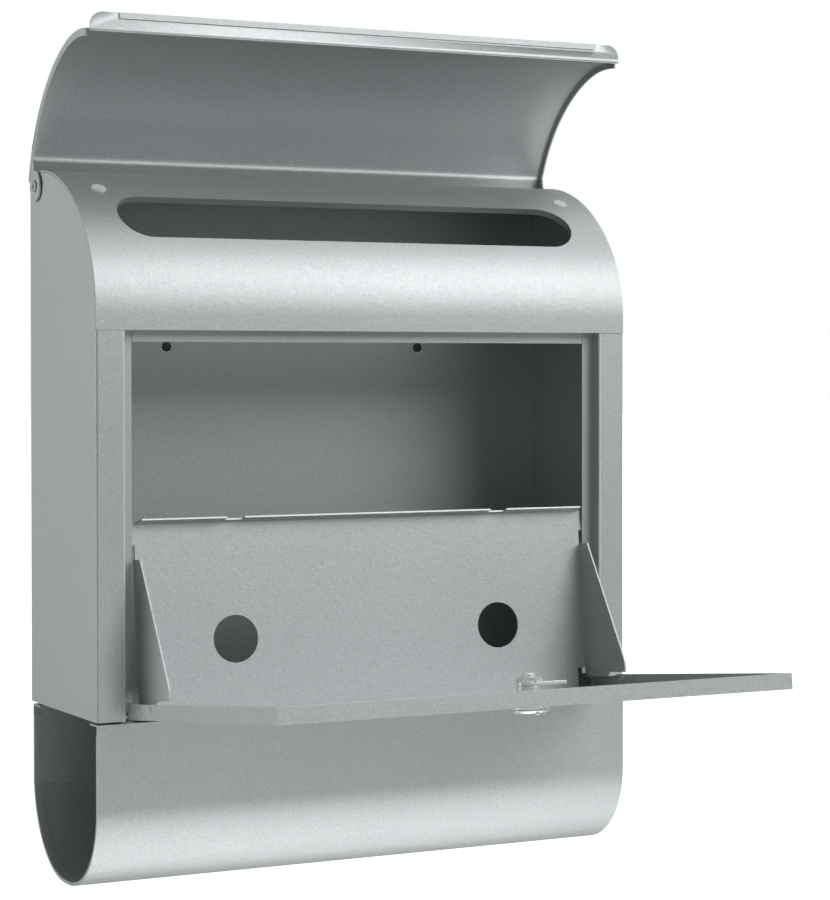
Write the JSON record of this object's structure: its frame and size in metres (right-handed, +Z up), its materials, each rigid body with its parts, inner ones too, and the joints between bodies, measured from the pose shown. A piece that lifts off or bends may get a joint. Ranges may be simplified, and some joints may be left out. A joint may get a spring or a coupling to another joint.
{
  "type": "wall mounted mailbox",
  "caption": "Sheet steel wall mailbox with curved slot lid, drop-down door with mail tray and cam lock, and a newspaper holder below.",
  "frame": {"origin": "centre of the wall screw pattern, on the back face against the wall", "axes": "+Z up, +Y into the wall, the front faces -Y, +X to the right seen from the front"},
  "size_m": [0.3658, 0.3464, 0.5244],
  "materials": {
    "powder_coat": "satin silver-grey powder coat",
    "rivet_steel": "dull zinc-plated steel",
    "lock_zinc": "bright plated",
    "clear_pad": "clear soft plastic"
  },
  "bodies": {
    "casing": {"back_panel": "powder_coat", "left_side": "powder_coat", "right_side": "powder_coat", "hood": "powder_coat", "floor_panel": "powder_coat", "newspaper_holder": "powder_coat", "holder_rivets": "rivet_steel", "holder_washers": "rivet_steel", "bumper_pads": "clear_pad", "lid_rivets": "rivet_steel", "lid_washers": "rivet_steel", "hinge_pins": "rivet_steel"},
    "lid": {"lid": "powder_coat"},
    "door": {"door_panel": "powder_coat", "mail_tray": "powder_coat", "tray_rivets": "rivet_steel", "lock_housing": "lock_zinc", "lock_nut": "lock_zinc", "cap_rivet": "lock_zinc"},
    "lock": {"lock_plug": "lock_zinc", "lock_cam": "lock_zinc", "cam_washer": "lock_zinc", "cam_nut": "lock_zinc"},
    "cap": {"dust_cap": "lock_zinc"}
  },
  "joints": [
    {"name": "lid_hinge", "type": "hinge", "parent": "casing", "child": "lid", "pos_m": [0, -0.0133, 0.1896], "axis": [1, 0, 0], "range_deg": [0, 74]},
    {"name": "door_hinge", "type": "hinge", "parent": "casing", "child": "door", "pos_m": [0, -0.1194, -0.12996], "axis": [1, 0, 0], "range_deg": [-84, 0]},
    {"name": "lock_turn", "type": "hinge", "parent": "door", "child": "lock", "pos_m": [0, -0.325, -0.11096], "axis": [0, -0.1045, -0.9945], "range_deg": [0, 90]},
    {"name": "cap_swing", "type": "hinge", "parent": "door", "child": "cap", "pos_m": [0, -0.33246, -0.11018], "axis": [0, 0.1045, 0.9945], "range_deg": [-160, 160]}
  ]
}
